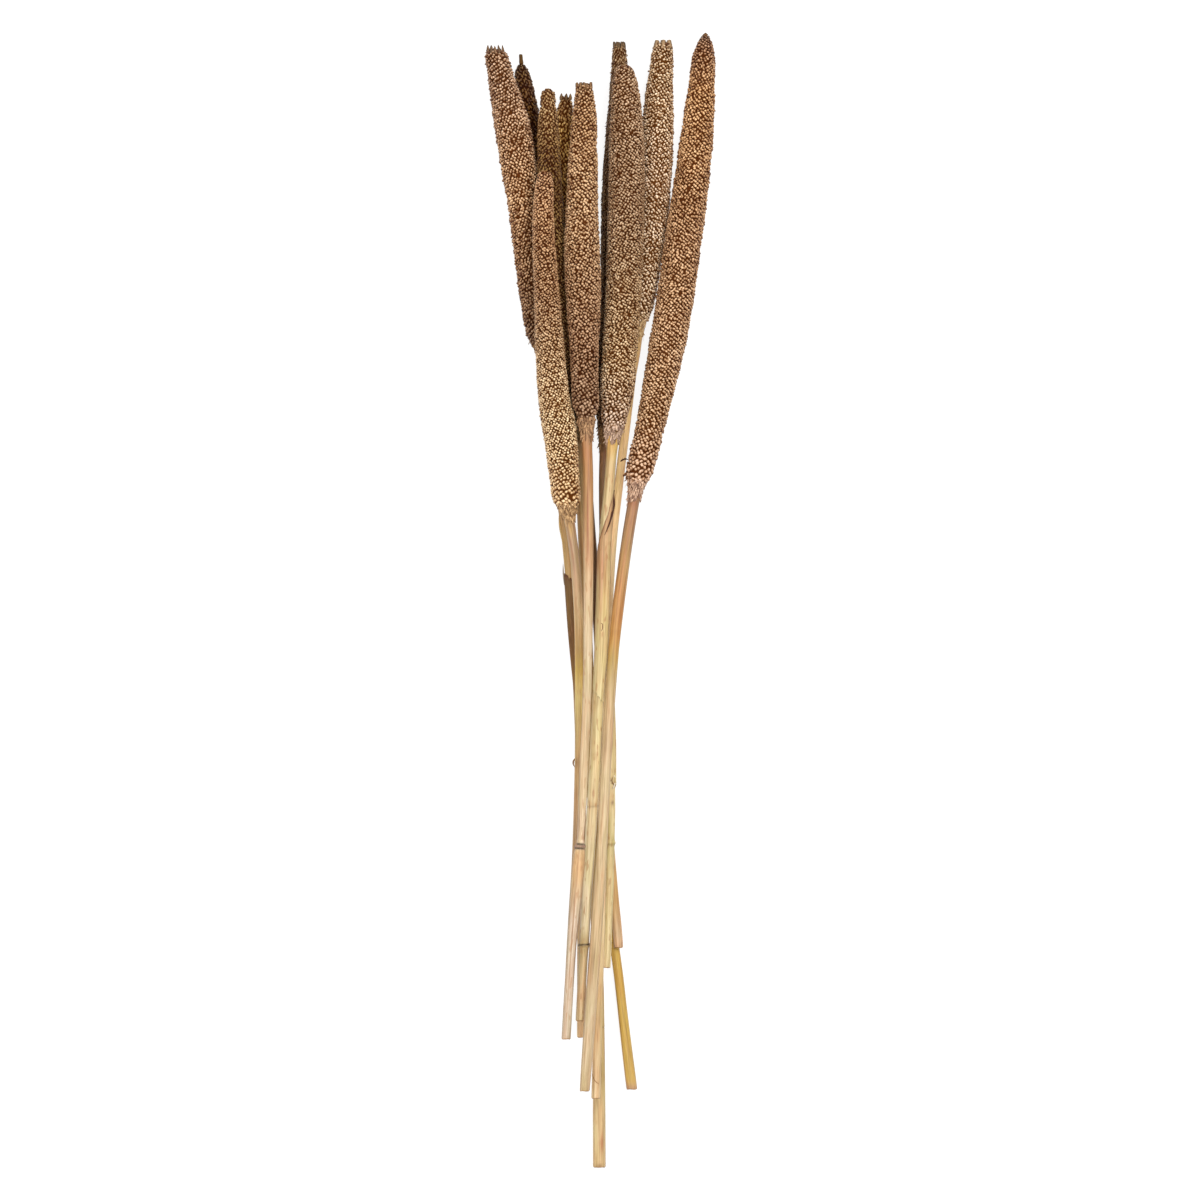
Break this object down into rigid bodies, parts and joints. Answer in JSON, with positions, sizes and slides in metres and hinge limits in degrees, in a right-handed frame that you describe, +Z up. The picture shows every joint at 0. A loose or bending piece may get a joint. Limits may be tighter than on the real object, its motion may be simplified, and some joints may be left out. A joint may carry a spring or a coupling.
{
  "type": "dried pearl millet stems",
  "caption": "Loose bunch of dried cattail-like millet stems lying flat: long seed heads on crossed straw stems, some with dry leaf sheaths.",
  "frame": {"origin": "on the surface the bunch lies on, under the middle of its box", "axes": "+Y along the bunch from the cut ends to the seed heads, +Z up from the surface"},
  "size_m": [0.141, 0.6998, 0.0626],
  "materials": {
    "grain_1": "dry seed head, matte grains with dark gaps",
    "grain_2": "dry seed head, matte grains with dark gaps",
    "grain_3": "dry seed head, matte grains with dark gaps",
    "grain_4": "dry seed head, matte grains with dark gaps",
    "grain_5": "dry seed head, matte grains with dark gaps",
    "grain_6": "dry seed head, matte grains with dark gaps",
    "grain_7": "dry seed head, matte grains with dark gaps",
    "grain_8": "dry seed head, matte grains with dark gaps",
    "grain_9": "dry seed head, matte grains with dark gaps",
    "grain_10": "dry seed head, matte grains with dark gaps",
    "straw_1": "dry straw, slightly glossy along its length",
    "straw_2": "dry straw, slightly glossy along its length",
    "straw_3": "dry straw, slightly glossy along its length",
    "straw_4": "dry straw, slightly glossy along its length",
    "straw_5": "dry straw, slightly glossy along its length",
    "straw_6": "dry straw, slightly glossy along its length",
    "straw_7": "dry straw, slightly glossy along its length",
    "straw_8": "dry straw, slightly glossy along its length",
    "straw_9": "dry straw, slightly glossy along its length",
    "straw_10": "dry straw, slightly glossy along its length",
    "husk_1": "dry leaf sheath, ribbed, matte",
    "husk_7": "dry leaf sheath, ribbed, matte",
    "husk_8": "dry leaf sheath, ribbed, matte"
  },
  "bodies": {
    "root": {"head_1": "grain_1", "head_2": "grain_2", "head_3": "grain_3", "head_4": "grain_4", "head_5": "grain_5", "head_6": "grain_6", "head_7": "grain_7", "head_8": "grain_8", "head_9": "grain_9", "head_10": "grain_10", "stem_1": "straw_1", "stem_2": "straw_2", "stem_3": "straw_3", "stem_4": "straw_4", "stem_5": "straw_5", "stem_6": "straw_6", "stem_7": "straw_7", "stem_8": "straw_8", "stem_9": "straw_9", "stem_10": "straw_10", "sheath_1": "husk_1", "sheath_7": "husk_7", "sheath_8": "husk_8"}
  },
  "joints": []
}
